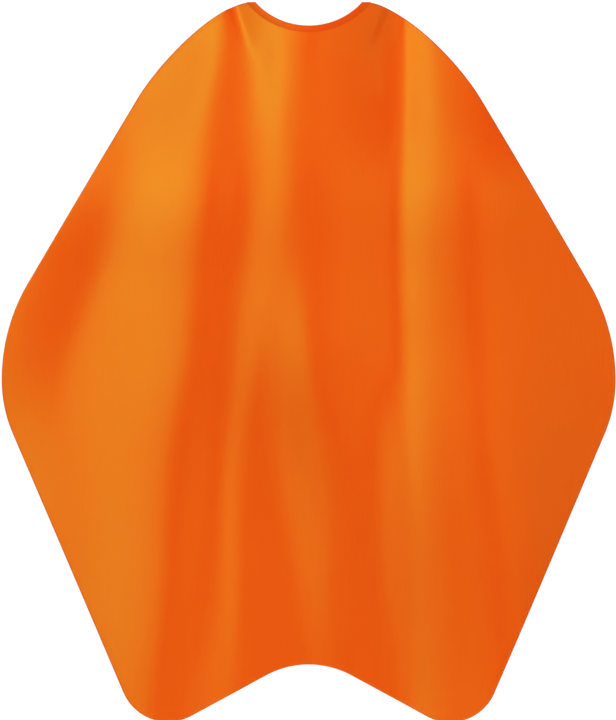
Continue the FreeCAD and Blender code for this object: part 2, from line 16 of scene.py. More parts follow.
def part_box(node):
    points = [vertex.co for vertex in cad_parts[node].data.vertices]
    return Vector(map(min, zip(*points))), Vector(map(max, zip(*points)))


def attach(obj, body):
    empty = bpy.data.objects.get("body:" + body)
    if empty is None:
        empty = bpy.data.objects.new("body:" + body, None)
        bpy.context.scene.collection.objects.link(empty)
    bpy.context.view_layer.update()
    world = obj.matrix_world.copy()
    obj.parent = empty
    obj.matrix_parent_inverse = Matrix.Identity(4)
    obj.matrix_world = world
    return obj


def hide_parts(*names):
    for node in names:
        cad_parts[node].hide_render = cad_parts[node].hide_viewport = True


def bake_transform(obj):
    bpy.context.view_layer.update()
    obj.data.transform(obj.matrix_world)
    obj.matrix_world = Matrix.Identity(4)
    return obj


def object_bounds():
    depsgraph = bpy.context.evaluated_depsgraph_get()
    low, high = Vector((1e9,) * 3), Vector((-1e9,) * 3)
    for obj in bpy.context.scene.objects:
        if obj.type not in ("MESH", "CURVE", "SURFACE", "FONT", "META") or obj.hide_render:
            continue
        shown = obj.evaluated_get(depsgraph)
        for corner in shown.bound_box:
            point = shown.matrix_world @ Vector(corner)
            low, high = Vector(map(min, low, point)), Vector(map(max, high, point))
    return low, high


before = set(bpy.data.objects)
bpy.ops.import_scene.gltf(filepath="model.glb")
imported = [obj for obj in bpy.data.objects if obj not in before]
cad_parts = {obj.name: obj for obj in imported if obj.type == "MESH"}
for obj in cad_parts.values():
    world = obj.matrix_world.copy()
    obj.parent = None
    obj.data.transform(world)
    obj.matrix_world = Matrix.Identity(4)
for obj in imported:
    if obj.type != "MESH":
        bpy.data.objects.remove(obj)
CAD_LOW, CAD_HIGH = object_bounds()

MM = 0.001

# ---------------------------------------------------------------- sizes

HEM_LOW, HEM_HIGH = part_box("hem")
HALF_WIDTH = HEM_HIGH.x
CAPE_DROP = -HEM_LOW.z

# the outline, as the CAD model builds it
WING_DROP = 736 * MM               # tips down to the widest point
WING_RADIUS_UPPER = 371 * MM
WING_RADIUS_LOWER = 265 * MM
SIDE_LEAN_UPPER = math.radians(30.6)
SIDE_LEAN_LOWER = math.radians(23.3)
SHOULDER_DROP = 190 * MM
SHOULDER_START_PULL = 69.8 * MM
SHOULDER_END_PULL = 89.3 * MM
TIP_HALF_SPAN = 110.3 * MM
TIP_SLOPE = math.radians(1.6)
NOTCH_RADIUS = 139.4 * MM
NOTCH_CENTRE = 92.7 * MM           # height of the notch's centre above the tips
HEM_APEX_DROP = 1289 * MM
HEM_APEX_RADIUS = 174 * MM
HEM_SLOPE = math.radians(28.5)
CORNER_RADIUS = 94.5 * MM
OUTLINE_STEP = 6 * MM

# the cloth's sweep in plan
NECK_FRONT = 42 * MM
CHEST_SWELL = 50 * MM
NECK_SWEEP, LOWER_SWEEP = 0.75, 0.33
NECK_ROUND, LOWER_ROUND = 90 * MM, 200 * MM
SWELL_START, SWELL_LENGTH = 15 * MM, 505 * MM
SWEEP_LENGTH = 400 * MM
SWEEP_HOLD, SWEEP_EASE = 30 * MM, 14 * MM

# cloth, hem and band
PANEL_THICK = 0.5 * MM
HEM_WIDTH = 9 * MM
HEM_SEAM = 7 * MM                  # the hem's stitching, in from the edge
BAND_WIDTH = 13 * MM
BAND_THICK = 2 * MM
GRID_STEP = 5.9 * MM


# ---------------------------------------------------------------- the outline, as (x, z)

def steps(length):
    return max(2, int(round(length / OUTLINE_STEP)))


def arc(centre, radius, first, last):
    turns = np.linspace(first, last, steps(abs(last - first) * radius) + 1)
    return np.stack([centre[0] + radius * np.cos(turns), centre[1] + radius * np.sin(turns)], 1)


def line(start, end):
    start, end = np.array(start), np.array(end)
    share = np.linspace(0, 1, steps(np.linalg.norm(end - start)) + 1)[:, None]
    return start + (end - start) * share


def bezier(points):
    first, second, third, fourth = [np.array(p) for p in points]
    t = np.linspace(0, 1, steps(np.linalg.norm(fourth - first)) + 1)[:, None]
    return (first * (1 - t) ** 3 + 3 * second * t * (1 - t) ** 2
            + 3 * third * t ** 2 * (1 - t) + fourth * t ** 3)


def right_half():
    """From the +X tip round the shoulder, the wing and the corner to the top of the hem's arch."""
    upper_centre = (HALF_WIDTH - WING_RADIUS_UPPER, -WING_DROP)
    lower_centre = (HALF_WIDTH - WING_RADIUS_LOWER, -WING_DROP)
    upper = arc(upper_centre, WING_RADIUS_UPPER, SIDE_LEAN_UPPER, 0)
    lower = arc(lower_centre, WING_RADIUS_LOWER, 0, -SIDE_LEAN_LOWER)
    down_side = np.array([math.sin(SIDE_LEAN_UPPER), -math.cos(SIDE_LEAN_UPPER)])
    side_start = upper[0] - down_side * ((upper[0][1] + SHOULDER_DROP) / down_side[1])
    tip = np.array([TIP_HALF_SPAN, 0])
    first_pull = np.array([math.cos(TIP_SLOPE), -math.sin(TIP_SLOPE)]) * SHOULDER_START_PULL
    shoulder = bezier([tip, tip + first_pull, side_start - down_side * SHOULDER_END_PULL, side_start])

    taper = np.array([-math.sin(SIDE_LEAN_LOWER), -math.cos(SIDE_LEAN_LOWER)])
    hem_way = np.array([math.cos(HEM_SLOPE), -math.sin(HEM_SLOPE)])
    apex_centre = (0, -HEM_APEX_DROP - HEM_APEX_RADIUS)
    apex = arc(apex_centre, HEM_APEX_RADIUS, math.pi / 2 - HEM_SLOPE, math.pi / 2)
    offset = apex[0] - lower[-1]
    cross = taper[0] * hem_way[1] - taper[1] * hem_way[0]
    corner = lower[-1] + taper * (offset[0] * hem_way[1] - offset[1] * hem_way[0]) / cross
    reach = CORNER_RADIUS * math.tan((math.pi / 2 + HEM_SLOPE - SIDE_LEAN_LOWER) / 2)
    centre = corner - taper * reach + np.array([taper[1], -taper[0]]) * CORNER_RADIUS
    round_corner = arc(centre, CORNER_RADIUS, -SIDE_LEAN_LOWER, -math.pi / 2 - HEM_SLOPE)
    pieces = [shoulder, line(side_start, upper[0]), upper, lower, line(lower[-1], round_corner[0]),
              round_corner, line(round_corner[-1], apex[0]), apex]
    return np.concatenate([pieces[0]] + [piece[1:] for piece in pieces[1:]])


def edge_path():
    """The hemmed edge: from the +X tip down, along the bottom and up to the -X tip."""
    right = right_half()
    left = right[:-1][::-1] * np.array([-1, 1])
    return np.concatenate([right, left])


def inward(path):
    """A unit vector at each point of the edge path, to its right: towards the cloth."""
    along = np.gradient(path, axis=0)
    along /= np.linalg.norm(along, axis=1)[:, None]
    return np.stack([along[:, 1], -along[:, 0]], 1)


def path_length(path):
    return np.concatenate([[0], np.cumsum(np.linalg.norm(np.diff(path, axis=0), axis=1))])


def resample(path, distances):
    """Points of a path at distances along it."""
    run = path_length(path)
    return np.stack([np.interp(distances, run, path[:, k]) for k in range(path.shape[1])], 1)


def below_band(points):
    """How far a point is from the neckline's edge, down into the cloth."""
    return np.hypot(points[..., 0], points[..., 1] - NOTCH_CENTRE) - NOTCH_RADIUS


# ---------------------------------------------------------------- the hanging cloth's surface

def smooth(value):
    """From 0 to 1 with no jump in its slope or curvature."""
    value = np.clip(value, 0, 1)
    return value ** 3 * (10 - 15 * value + 6 * value ** 2)


def base_depth(x, drop):
    """The cloth's middle surface without its folds: how far behind the origin it lies."""
    fall = smooth((drop - SWELL_START) / SWELL_LENGTH)
    forward = NECK_FRONT + CHEST_SWELL * fall
    turn = smooth((drop - SWELL_START) / SWEEP_LENGTH)
    rounding = NECK_ROUND + (LOWER_ROUND - NECK_ROUND) * fall
    reach = np.hypot(x, rounding) - rounding
    extra = (NECK_SWEEP - LOWER_SWEEP) * reach
    past = np.maximum(extra - SWEEP_HOLD, 0)
    extra -= past - SWEEP_EASE * (1 - np.exp(-past / SWEEP_EASE))
    return LOWER_SWEEP * reach + extra * (1 - turn) - forward


def course(drop, points):
    """A smooth value along the cape's drop, through (drop in mm, value) points; flat beyond both ends."""
    at = np.array([p[0] for p in points]) * MM
    value = np.array([p[1] for p in points], float)
    count = len(at)
    span, rise = np.diff(at), np.diff(value)
    system, known = np.eye(count), np.zeros(count)
    for k in range(1, count - 1):
        system[k, k - 1:k + 2] = span[k], 2 * (span[k - 1] + span[k]), span[k - 1]
        known[k] = 3 * (rise[k - 1] * span[k] / span[k - 1] + rise[k] * span[k - 1] / span[k])
    slope = np.linalg.solve(system, known)
    drop = np.clip(drop, at[0], at[-1])
    index = np.clip(np.searchsorted(at, drop, side="right") - 1, 0, count - 2)
    t = (drop - at[index]) / span[index]
    return (value[index] + rise[index] * (3 - 2 * t) * t ** 2
            + span[index] * (slope[index] * (t - 1) ** 2 * t + slope[index + 1] * (t - 1) * t ** 2))


# Each fold is one slope of the cloth, given down the cape as (drop, value) in millimetres: its centre line, how
# steep it is there (negative faces the wearer's right, which is the left in a front view), its half width on
# the outer and, where that differs, on the inner side, and how far its push reaches.
FOLDS = [
    {   # the broad slope under the right shoulder
        "centre": [(60, -215), (230, -240), (390, -270), (540, -340), (700, -370), (1100, -400),
                   (1400, -420)],
        "slope": [(60, -0.08), (230, -0.05), (390, -0.04), (540, 0.02), (700, 0.10), (850, 0.04),
                  (1010, -0.02), (1400, -0.06)],
        "width": [(60, 50), (390, 60), (1000, 90)],
    },
    {   # which flattens out before the wing
        "centre": [(100, -360), (390, -412), (540, -458), (700, -500), (850, -490), (1010, -450),
                   (1400, -440)],
        "slope": [(60, 0.04), (390, 0.28), (700, 0.33), (850, 0.17), (1010, 0.11), (1200, 0.04), (1400, 0.0)],
        "inner": [(60, 60), (230, 80), (390, 120), (700, 140), (850, 90), (1400, 60)],
        "width": [(60, 60), (700, 60)],
        "reach": [(60, 260), (390, 400), (700, 400), (1400, 260)],
    },
    {   # the valley beside it
        "centre": [(60, -144), (230, -157), (390, -166), (520, -182), (700, -197), (850, -212), (1010, -230),
                   (1210, -250), (1400, -275)],
        "slope": [(60, 0.56), (230, 0.50), (390, 0.42), (1400, 0.34)],
        "inner": [(60, 26), (230, 34), (1400, 38)],
        "width": [(60, 24), (110, 34), (230, 36), (390, 44), (700, 50), (900, 42), (1400, 38)],
    },
    {   # the ridge left of the middle
        "centre": [(60, -76), (230, -68), (390, -72), (540, -92), (700, -120), (810, -142), (1160, -152),
                   (1400, -166)],
        "slope": [(60, -0.12), (300, -0.16), (460, -0.12), (700, -0.13), (810, -0.22), (1160, -0.19),
                  (1400, -0.06)],
        "width": [(60, 28), (390, 32), (1400, 22)],
    },
    {   # the dip that opens under it
        "centre": [(640, -98), (1400, -112)],
        "slope": [(560, 0.0), (760, 0.08), (850, 0.05), (1400, 0.08)],
        "width": [(640, 16), (1400, 20)],
    },
    {   # the soft ridge that starts in the middle
        "centre": [(500, -30), (700, -26), (850, -14), (1010, 4), (1160, 20), (1400, 36)],
        "slope": [(420, 0.0), (540, -0.08), (700, -0.34), (850, -0.56), (1160, -0.50), (1400, -0.36)],
        "width": [(540, 36), (700, 42), (850, 62), (1160, 64), (1400, 64)],
    },
    {   # the broad face right of the middle
        "centre": [(60, 96), (700, 92), (850, 74), (1010, 92), (1160, 112), (1400, 124)],
        "slope": [(60, 0.0), (300, 0.04), (640, 0.05), (760, -0.10), (850, -0.26), (1400, -0.24)],
        "width": [(60, 60), (1400, 54)],
        "reach": [(60, 280), (1400, 280)],
    },
    {   # the faint strip that starts at the crease
        "centre": [(700, 150), (1010, 164), (1400, 184)],
        "slope": [(640, 0.0), (800, -0.44), (1400, -0.42)],
        "width": [(700, 46), (1400, 44)],
    },
    {   # the narrow ridge on the wearer's left, sharp on its inner side
        "centre": [(60, 196), (700, 200), (930, 212), (1400, 224)],
        "slope": [(60, -0.78), (300, -0.68), (540, -0.60), (700, -0.56), (850, -0.56), (1010, -0.64),
                  (1400, -0.64)],
        "inner": [(60, 16), (230, 22), (1400, 24)],
        "width": [(60, 56), (1400, 60)],
        "reach": [(60, 260), (1400, 280)],
    },
    {   # and the slack that runs out from it to the wing
        "centre": [(60, 270), (700, 296), (850, 304), (1010, 322), (1400, 340)],
        "slope": [(60, -0.34), (230, -0.42), (390, -0.40), (700, -0.44), (850, -0.60), (1010, -0.68),
                  (1400, -0.62)],
        "width": [(60, 74), (700, 78), (1400, 90)],
        "reach": [(60, 220), (1400, 260)],
    },
]
FOLD_REACH = 190 * MM              # a fold's push dies away over this distance to either side
FADE_START = 5 * MM                # below the neckline's edge, where the folds begin to grow
FADE_LENGTH = 60 * MM
STRAP_HOLD = 38 * MM               # they begin this much lower over the straps, which lie behind the cloth
STRAP_HOLD_HALF_WIDTH = 36 * MM
TINY = 0.5 * MM                    # the step over which the cloth's slope is taken


def fold_push(x, drop):
    """How far all the folds together push the cloth back, at their full depth."""
    depth = np.zeros_like(x)
    for fold in FOLDS:
        centre = course(drop, fold["centre"]) * MM
        slope = course(drop, fold["slope"])
        outer = course(drop, fold["width"]) * MM
        inner = course(drop, fold["inner"]) * MM if "inner" in fold else outer
        reach = course(drop, fold["reach"]) * MM if "reach" in fold else FOLD_REACH
        away = x - centre
        width = np.where(away < 0, inner, outer)
        depth += slope * width * np.tanh(away / width) * np.exp(-(away / reach) ** 2)
    return depth


def folds(x, drop):
    """How far the folds push the cloth back from its plain sweep; at the neck, only about its middle."""
    away = (np.abs(x) - TIP_HALF_SPAN) / STRAP_HOLD_HALF_WIDTH
    start = FADE_START + STRAP_HOLD * np.exp(-away ** 2)
    grown = smooth((below_band(np.stack([x, -drop], -1)) - start) / FADE_LENGTH)
    level = smooth(1 - (drop - SHOULDER_DROP) / SWEEP_LENGTH)
    return (fold_push(x, drop) - fold_push(np.zeros_like(x), drop) * level) * grown


def cloth_depth(x, drop):
    return base_depth(x, drop) + folds(x, drop)


def on_cloth(points, lift=0.0):
    """Places (x, z) points on the cloth, lifted along its normal to its back (positive) or front (negative).

    Returns the places and the normals, which point to the back.
    """
    points = np.asarray(points, float)
    x, drop = points[:, 0], -points[:, 1]
    depth = cloth_depth(x, drop)
    slope_x = (cloth_depth(x + TINY, drop) - cloth_depth(x - TINY, drop)) / (2 * TINY)
    slope_z = (cloth_depth(x, drop - TINY) - cloth_depth(x, drop + TINY)) / (2 * TINY)
    normal = np.stack([-slope_x, np.ones_like(x), -slope_z], 1)
    normal /= np.linalg.norm(normal, axis=1)[:, None]
    place = np.stack([x, depth, points[:, 1]], 1)
    return place + normal * np.reshape(lift, (-1, 1)), normal


# ---------------------------------------------------------------- meshes

def face_outwards(mesh):
    """Turns the faces of every closed shell in a mesh outwards."""
    shells = bmesh.new()
    shells.from_mesh(mesh)
    bmesh.ops.recalc_face_normals(shells, faces=shells.faces)
    shells.to_mesh(mesh)
    shells.free()


def new_mesh(name, vertices, faces, body, material, replaced):
    """A smooth-shaded piece that rides on a body, if it is given one, and stands for CAD nodes."""
    mesh = bpy.data.meshes.new(name)
    mesh.from_pydata([tuple(v) for v in vertices], [], [tuple(int(i) for i in f) for f in faces])
    mesh.validate()
    face_outwards(mesh)
    mesh.polygons.foreach_set("use_smooth", [True] * len(mesh.polygons))
    mesh.update()
    piece = bpy.data.objects.new(name, mesh)
    bpy.context.scene.collection.objects.link(piece)
    mesh.materials.append(material)
    if body:
        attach(piece, body)
    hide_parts(*replaced)
    return piece


def tube_faces(rows, columns):
    """Quads over rows x columns of vertices, with the last column joined to the first."""
    faces = []
    for row in range(rows - 1):
        for column in range(columns):
            a = row * columns + column
            b = row * columns + (column + 1) % columns
            faces.append((a, b, b + columns, a + columns))
    return faces


def swept(sections):
    """A closed tube through closed sections of equal size, with flat caps; sections is (count, points, 3)."""
    count, points, _ = sections.shape
    faces = tube_faces(count, points)
    faces.append(tuple(range(points))[::-1])
    faces.append(tuple((count - 1) * points + k for k in range(points)))
    return sections.reshape(-1, 3), faces


# ---------------------------------------------------------------- the panel

def inside(points, polygon):
    """Even-odd test of points against a closed polygon."""
    result = np.zeros(len(points), bool)
    for a, b in zip(polygon, np.roll(polygon, -1, axis=0)):
        if a[1] == b[1]:
            continue
        crosses = (a[1] > points[:, 1]) != (b[1] > points[:, 1])
        at = a[0] + (points[:, 1] - a[1]) * (b[0] - a[0]) / (b[1] - a[1])
        result ^= crosses & (points[:, 0] < at)
    return result


def nearest(points, path, block=4000):
    """Distance from each point to the closest of a path's points, in blocks that fit in memory."""
    best = np.empty(len(points))
    for first in range(0, len(points), block):
        part = points[first:first + block]
        best[first:first + block] = np.sqrt(((part[:, None] - path[None]) ** 2).sum(-1).min(1))
    return best


PANEL_INSET = 0.7 * MM             # the panel's edge, inside the hem's fold
PANEL_IN_BAND = 1.2 * MM           # and inside the band's fold
HEM_RINGS = (2.4 * MM, 4.4 * MM, 6.2 * MM, 7.0 * MM, 7.8 * MM, 10 * MM, 14 * MM)   # in from the edge
MERGE_DISTANCE = 1e-6
FILL_INSIDE = 1                    # the triangulation keeps what lies inside its boundary


def panel_plan():
    """The panel's net in the front view: its points and triangles.

    Rings of points follow the hem's edge, and a grid of equal triangles fills the rest.
    """
    path = edge_path()
    turn_in = inward(path)
    hemmed = path + turn_in * PANEL_INSET
    hemmed = hemmed[below_band(hemmed) > PANEL_IN_BAND]
    half_angle = math.atan2(hemmed[0][0], NOTCH_CENTRE - hemmed[0][1])
    radius = NOTCH_RADIUS + PANEL_IN_BAND
    neck = arc((0, NOTCH_CENTRE), radius, -math.pi / 2 - half_angle, -math.pi / 2 + half_angle)[1:-1]
    boundary = np.concatenate([hemmed, neck])
    rings = []
    for distance in HEM_RINGS:
        ring = path + turn_in * distance
        rings.append(ring[below_band(ring) > BAND_WIDTH])
    rise = GRID_STEP * math.sqrt(3) / 2
    rows = int(CAPE_DROP / rise)
    columns = int(HALF_WIDTH / GRID_STEP) + 1
    across = np.arange(-columns, columns + 1) * GRID_STEP
    grid = np.concatenate([
        np.stack([across + (row % 2) * GRID_STEP / 2, np.full(len(across), -row * rise)], 1)
        for row in range(rows)
    ])
    grid = grid[inside(grid, boundary)]
    hem_clear = nearest(grid, path) > HEM_RINGS[-1] + GRID_STEP / 2
    band_clear = below_band(grid) > PANEL_IN_BAND + GRID_STEP / 2
    points = np.concatenate([boundary, *rings, grid[hem_clear & band_clear]])
    loop = list(range(len(boundary)))
    net = delaunay_2d_cdt([Vector(p) for p in points], [], [loop], FILL_INSIDE, MERGE_DISTANCE)
    return np.array([tuple(v) for v in net[0]]), np.array(net[2])


def face_front(flat, triangles):
    """Turns each triangle so that its normal faces the front."""
    a, b, c = (flat[triangles[:, k]] for k in range(3))
    area = (b[:, 0] - a[:, 0]) * (c[:, 1] - a[:, 1]) - (b[:, 1] - a[:, 1]) * (c[:, 0] - a[:, 0])
    triangles = triangles.copy()
    triangles[area < 0] = triangles[area < 0][:, ::-1]
    return triangles


def border_edges(triangles):
    """The directed edges that only one triangle has."""
    seen = {}
    for tri in triangles.tolist():
        for a, b in ((tri[0], tri[1]), (tri[1], tri[2]), (tri[2], tri[0])):
            if (b, a) in seen:
                del seen[(b, a)]
            else:
                seen[(a, b)] = True
    return list(seen)


def make_panel(material):
    """Two layers of cloth a panel's thickness apart, joined round the edge."""
    flat, triangles = panel_plan()
    triangles = face_front(flat, triangles)
    front, _ = on_cloth(flat, -PANEL_THICK / 2)
    back, _ = on_cloth(flat, PANEL_THICK / 2)
    count = len(flat)
    faces = [tuple(t) for t in triangles.tolist()]
    faces += [tuple(k + count for k in t[::-1]) for t in triangles.tolist()]
    faces += [(b, a, a + count, b + count) for a, b in border_edges(triangles)]
    return new_mesh("cape_panel", np.concatenate([front, back]), faces, "cape", material,
                    ["cape_body"])


# ---------------------------------------------------------------- hem, band and stitches

HEM_BACK = 0.9 * MM                # how far behind the cloth's middle the hem's seam lies
# across the hem, in mm, round the turned edge and back: (distance in from the edge, lift off the cloth's middle)
HEM_SECTION = [
    (1.3, -0.33), (0.7, -0.42), (0.25, -0.34), (0.0, 0.0), (0.0, 0.55), (0.2, 1.0), (0.8, 1.22),
    (2.5, 1.12), (5.0, 1.1), (6.6, 1.0), (7.0, 0.9), (7.4, 1.0), (8.5, 1.18), (8.95, 1.05), (9.0, 0.7),
    (8.7, 0.4), (5.0, 0.3), (1.3, 0.3), (0.6, 0.18), (0.55, -0.15), (0.8, -0.27),
]


def make_hem(material):
    """The panel's edge turned over twice to the back, all along but for the neckline."""
    path = edge_path()
    turn_in = inward(path)
    keep = below_band(path + turn_in * HEM_WIDTH / 2) > BAND_WIDTH
    path, turn_in = path[keep], turn_in[keep]
    sections = []
    for distance, lift in HEM_SECTION:
        ring, _ = on_cloth(path + turn_in * distance * MM, lift * MM)
        sections.append(ring)
    vertices, faces = swept(np.stack(sections, 1))
    return new_mesh("turned_hem", vertices, faces, "cape", material, ["hem"])


STITCH_PITCH = 3.6 * MM
STITCH_LENGTH = 2.9 * MM
THREAD_RADIUS = 0.24 * MM
THREAD_SIDES = 6
# along one stitch: (share of its half length, share of the thread's radius, how deep it sinks into the cloth)
STITCH_RINGS = [(-1.0, 0.35, 1.1), (-0.75, 0.85, 0.55), (-0.3, 1.0, 0.1), (0.3, 1.0, 0.1), (0.75, 0.85, 0.55),
                (1.0, 0.35, 1.1)]
FRONT, BACK = -1, 1                # the cloth's faces


def stitches(centres, along, out, length=STITCH_LENGTH):
    """A row of stitches: capsules at centres, along unit vectors, bulging towards out."""
    across = np.cross(along, out)
    turns = np.arange(THREAD_SIDES) * 2 * math.pi / THREAD_SIDES
    rings = []
    for share, size, sink in STITCH_RINGS:
        middle = centres + along * (share * length / 2) - out * (sink * THREAD_RADIUS)
        for turn in turns:
            rings.append(middle + (across * math.cos(turn) + out * math.sin(turn)) * (size * THREAD_RADIUS))
    per = len(STITCH_RINGS) * THREAD_SIDES
    one = tube_faces(len(STITCH_RINGS), THREAD_SIDES)
    one.append(tuple(range(THREAD_SIDES))[::-1])
    one.append(tuple(per - THREAD_SIDES + k for k in range(THREAD_SIDES)))
    faces = [tuple(k + number * per for k in face) for number in range(len(centres)) for face in one]
    return np.stack(rings, 1).reshape(-1, 3), faces


def joined(parts):
    """One mesh from several (vertices, faces)."""
    vertices, faces, start = [], [], 0
    for part_vertices, part_faces in parts:
        vertices.append(part_vertices)
        faces += [tuple(k + start for k in face) for face in part_faces]
        start += len(part_vertices)
    return np.concatenate(vertices), faces


def row_on_cloth(path, lift, side):
    """Stitches along an (x, z) path on one face of the cloth, at a lift off its middle."""
    run = path_length(path)
    at = np.arange(STITCH_PITCH, run[-1] - STITCH_PITCH, STITCH_PITCH)
    centres, normal = on_cloth(resample(path, at), lift * side)
    ahead, _ = on_cloth(resample(path, at + STITCH_LENGTH / 4), lift * side)
    behind, _ = on_cloth(resample(path, at - STITCH_LENGTH / 4), lift * side)
    along = ahead - behind
    along /= np.linalg.norm(along, axis=1)[:, None]
    out = normal * side
    out -= along * (out * along).sum(1)[:, None]
    out /= np.linalg.norm(out, axis=1)[:, None]
    return stitches(centres, along, out)


def make_hem_thread(material):
    path = edge_path()
    ring = path + inward(path) * HEM_SEAM
    ring = ring[below_band(ring) > BAND_WIDTH + STITCH_PITCH / 2]
    parts = [row_on_cloth(ring, PANEL_THICK / 2, FRONT), row_on_cloth(ring, HEM_BACK, BACK)]
    vertices, faces = joined(parts)
    return new_mesh("hem_stitching", vertices, faces, "cape", material, ["hem_thread"])


BAND_CHANNEL = 0.35 * MM           # half of the space between the band's two layers
BAND_FOLD = 0.9 * MM               # the thickness of its cloth at the fold, along the neckline's edge
BAND_FOLD_END = 0.6 * MM           # where the fold opens into the channel
BAND_COUNT = 120
BAND_TIP = 0.2 * MM                # the band's ends stop this far short of the tips' level
BAND_SEAMS = (1.4 * MM, BAND_WIDTH - 1.5 * MM)
SEAM_SHARE = 0.985                 # how much of the band's half its seams run along
SEAM_SEAT = 0.9                    # how far out a seam lies, as a share of half its tape's thickness
# down the band's front: (mm from the neckline's edge, lift as a share of half its thickness)
BAND_SIDE = [(0.12, 0.45), (0.5, 0.78), (1.0, 0.94), (1.4, 0.88), (1.8, 0.96), (3.5, 1.12), (6.5, 1.22),
             (9.5, 1.12), (11.1, 0.96), (11.5, 0.86), (11.9, 0.95), (12.5, 1.02), (12.9, 0.9), (13.0, 0.7)]


def band_places(distance, share):
    """(x, z) places along the band at a distance from the neckline's edge; share is -1 and 1 at its tips."""
    radius = NOTCH_RADIUS + distance
    limit = np.arccos(np.clip(NOTCH_CENTRE / radius, -1, 1)) - BAND_TIP / radius
    turn = share * limit
    return np.stack([radius * np.sin(turn), NOTCH_CENTRE - radius * np.cos(turn)], 1)


def make_band(material):
    """A tape folded over the neckline: its outside, and the channel inside it that holds the cloth."""
    half = BAND_THICK / 2
    share = np.linspace(-1, 1, BAND_COUNT + 1)
    profile = [(d * MM, -l * half) for d, l in BAND_SIDE[::-1]] + [(0.0, 0.0)]
    profile += [(d * MM, l * half) for d, l in BAND_SIDE]
    inner = [(max(d, BAND_FOLD), math.copysign(BAND_CHANNEL, lift) if d > BAND_FOLD_END else lift / 2)
             for d, lift in profile]
    columns = []
    for distance, lift in profile + inner[::-1]:
        ring, _ = on_cloth(band_places(distance, share), lift)
        columns.append(ring)
    sections = np.stack(columns, 1)
    count = len(profile)
    total = 2 * count
    faces = tube_faces(len(share), total)
    for start in (0, (len(share) - 1) * total):
        for k in range(count - 1):
            quad = (start + k, start + k + 1, start + total - 2 - k, start + total - 1 - k)
            faces.append(quad if start == 0 else quad[::-1])
    return new_mesh("neck_binding", sections.reshape(-1, 3), faces, "cape", material,
                    ["neckband"])


def make_band_thread(material):
    share = np.linspace(-SEAM_SHARE, SEAM_SHARE, BAND_COUNT)
    parts = []
    for distance in BAND_SEAMS:
        path = band_places(distance, share)
        for side in (FRONT, BACK):
            parts.append(row_on_cloth(path, BAND_THICK / 2 * SEAM_SEAT, side))
    vertices, faces = joined(parts)
    return new_mesh("neck_stitching", vertices, faces, "cape", material, ["neckband_thread"])


# ---------------------------------------------------------------- straps

STRAP_WIDTH = 13 * MM
STRAP_THICK = 1.6 * MM
STRAP_START = 108 * MM             # where each strap leaves its neckband tip, from the middle
TIP_BACK = 1.3 * MM                # how far forward of the origin it starts
TIP_ANGLE = math.radians(30)       # and how far it already turns to the back there
PATCH_LENGTH = 14 * MM             # the strap's end that is sewn behind the tip
PATCH_TOP = 14 * MM                # the drop of the strap's upper edge there
STRAP_TOP = 49.5 * MM              # and behind the neck
STRAP_STEP = 2 * MM
STUD_BEND = 23 * MM                # the radius at which the stud strap turns to the back
STRAP_GAP = 4.9 * MM               # between the two straps' middles, where the snaps sit
STRAP_OVERLAP = 22 * MM            # how far each runs past the middle
END_RADIUS = 4 * MM
SIDES = {"stud": 1, "socket": -1}  # which of the band's tips each strap is sewn to
UP = np.array([0, 0, 1])
# across half a tape's face, from its edge in: (mm in from the edge, lift as a share of half its thickness)
TAPE_SIDE = [(0.0, 0.0), (0.12, 0.55), (0.45, 0.9), (1.2, 1.0), (2.0, 0.9), (3.2, 1.06)]
TAPE_LEAST = 0.2 * MM              # the least half width, at the rounded end
STRAP_SEAM = 1.9 * MM              # a strap's seams, in from its edges


def strap_centreline(kind):
    """Points down the middle of a strap, from its sewn patch to its free end."""
    rise = 1 + math.cos(TIP_ANGLE)
    bend = STUD_BEND + (0 if kind == "stud" else STRAP_GAP / rise)
    turn = math.pi - TIP_ANGLE
    centre = np.array([STRAP_START - bend * math.sin(TIP_ANGLE), bend * math.cos(TIP_ANGLE) - TIP_BACK])
    patch = np.linspace(-PATCH_LENGTH, 0, int(PATCH_LENGTH / STRAP_STEP) + 1)[:, None]
    start = np.array([STRAP_START, -TIP_BACK])
    plan_patch = start + patch * np.array([math.cos(TIP_ANGLE), math.sin(TIP_ANGLE)])
    turns = np.linspace(0, turn, int(bend * turn / STRAP_STEP) + 1)[1:] - math.pi / 2 + TIP_ANGLE
    plan_bend = centre + bend * np.stack([np.cos(turns), np.sin(turns)], 1)
    run = plan_bend[-1][0] + STRAP_OVERLAP
    reach = np.linspace(0, run, int(run / STRAP_STEP) + 1)[1:, None]
    plan_run = plan_bend[-1] + reach * np.array([-1.0, 0.0])
    plan = np.concatenate([plan_patch, plan_bend, plan_run])
    share = np.clip((plan[:, 1] + TIP_BACK) / (plan_bend[-1][1] + TIP_BACK), 0, 1)
    top = -(PATCH_TOP + (STRAP_TOP - PATCH_TOP) * share)
    middle = top - STRAP_WIDTH / 2
    return np.stack([SIDES[kind] * plan[:, 0], plan[:, 1], middle], 1)


def outward(along):
    """Level unit vectors square to the ways along a strap."""
    out = np.stack([-along[:, 1], along[:, 0], np.zeros(len(along))], 1)
    return out / np.linalg.norm(out, axis=1)[:, None]


def tape(line):
    """A strap's flat tape with soft edges along a line; its free end is rounded in outline."""
    out = outward(np.gradient(line, axis=0))
    along = path_length(line)
    left = along[-1] - along
    half = np.full(len(line), STRAP_WIDTH / 2)
    near = left < END_RADIUS
    half[near] -= END_RADIUS - np.sqrt(END_RADIUS ** 2 - (END_RADIUS - left[near]) ** 2)
    section = [(-1, inset, lift) for inset, lift in TAPE_SIDE]
    section += [(1, inset, lift) for inset, lift in TAPE_SIDE[::-1]]
    back = [(side, inset, -lift) for side, inset, lift in section[1:-1]][::-1]
    rings = []
    for side, inset, lift in section + back:
        height = side * np.maximum(half - inset * MM, TAPE_LEAST)
        rings.append(line + UP * height[:, None] + out * (lift * STRAP_THICK / 2))
    return swept(np.stack(rings, 1))


